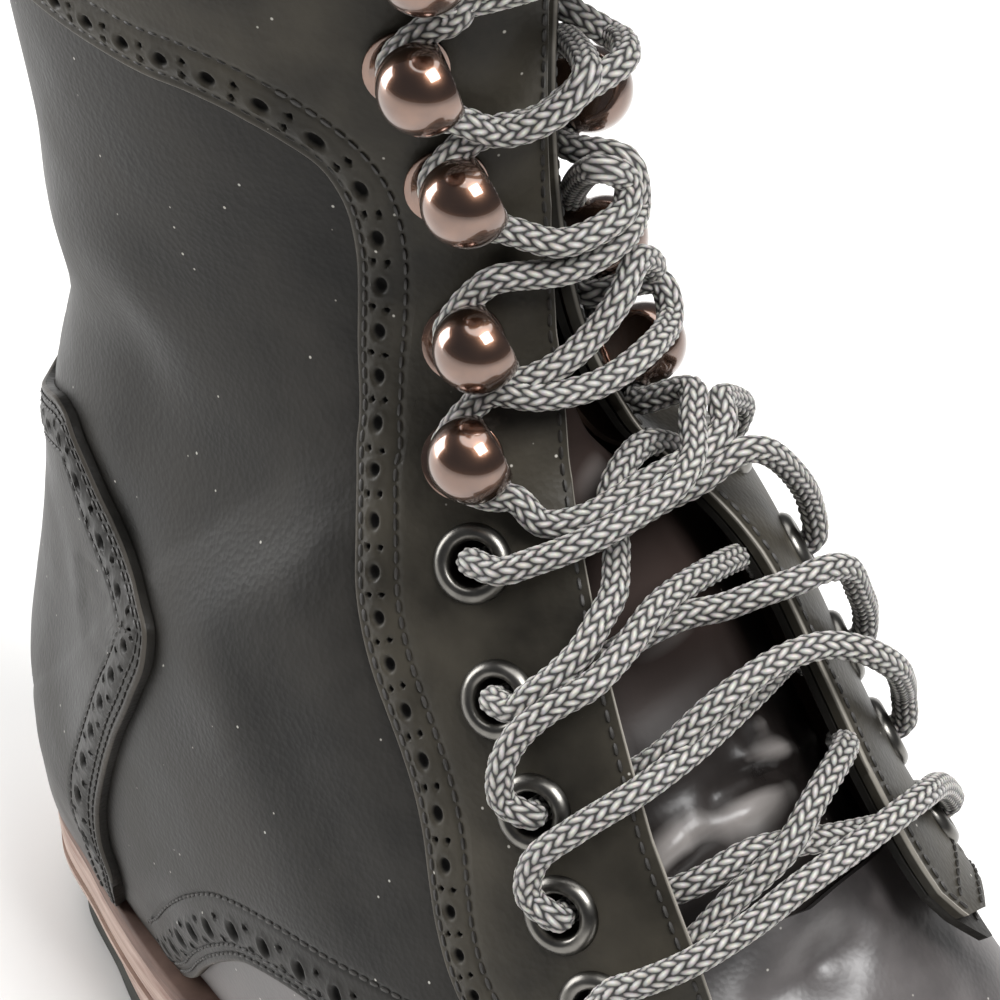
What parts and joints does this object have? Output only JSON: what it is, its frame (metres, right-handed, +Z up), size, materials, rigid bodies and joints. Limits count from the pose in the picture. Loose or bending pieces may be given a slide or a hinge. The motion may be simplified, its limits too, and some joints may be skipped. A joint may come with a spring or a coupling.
{
  "type": "lace-up ankle boot",
  "caption": "Lace-up leather ankle boot with open flaps, brogued swan-neck facings, rolled eyelets, domed hooks, a heel counter and a stacked heel.",
  "frame": {"origin": "on the floor under the middle of the heel, on the underside of the heel's top lift", "axes": "+X to the toe, +Y to the inner (medial) side, +Z up"},
  "size_m": [0.2835, 0.0995, 0.2179],
  "materials": {
    "black_leather": "waxed semi-gloss",
    "brown_lining": "matt",
    "sole_leather": "dyed and burnished edge",
    "welt_leather": "dyed edge",
    "heel_rubber": "matt",
    "antique_copper": "polished antique copper plate",
    "gunmetal": "dark nickel plate",
    "grey_cord": "braided waxed cord"
  },
  "bodies": {
    "root": {"outsole": "sole_leather", "welt": "welt_leather", "heel_stack": "sole_leather", "heel_top_lift": "heel_rubber", "insole": "brown_lining", "upper": "black_leather", "tongue": "black_leather", "heel_counter": "black_leather", "quarter_lateral": "black_leather", "facing_lateral": "black_leather", "eyelet_lateral_1": "gunmetal", "hook_lateral_1": "antique_copper", "eyelet_lateral_2": "gunmetal", "hook_lateral_2": "antique_copper", "eyelet_lateral_3": "gunmetal", "hook_lateral_3": "antique_copper", "eyelet_lateral_4": "gunmetal", "hook_lateral_4": "antique_copper", "eyelet_lateral_5": "gunmetal", "hook_lateral_5": "antique_copper", "quarter_medial": "black_leather", "facing_medial": "black_leather", "eyelet_medial_1": "gunmetal", "hook_medial_1": "antique_copper", "eyelet_medial_2": "gunmetal", "hook_medial_2": "antique_copper", "eyelet_medial_3": "gunmetal", "hook_medial_3": "antique_copper", "eyelet_medial_4": "gunmetal", "hook_medial_4": "antique_copper", "eyelet_medial_5": "gunmetal", "hook_medial_5": "antique_copper", "lace_bar": "grey_cord", "lace_crossing_1": "grey_cord", "lace_crossing_2": "grey_cord", "lace_crossing_3": "grey_cord", "lace_crossing_4": "grey_cord", "lace_crossing_5": "grey_cord", "lace_crossing_6": "grey_cord", "lace_crossing_7": "grey_cord", "lace_crossing_8": "grey_cord", "lace_crossing_9": "grey_cord"}
  },
  "joints": []
}
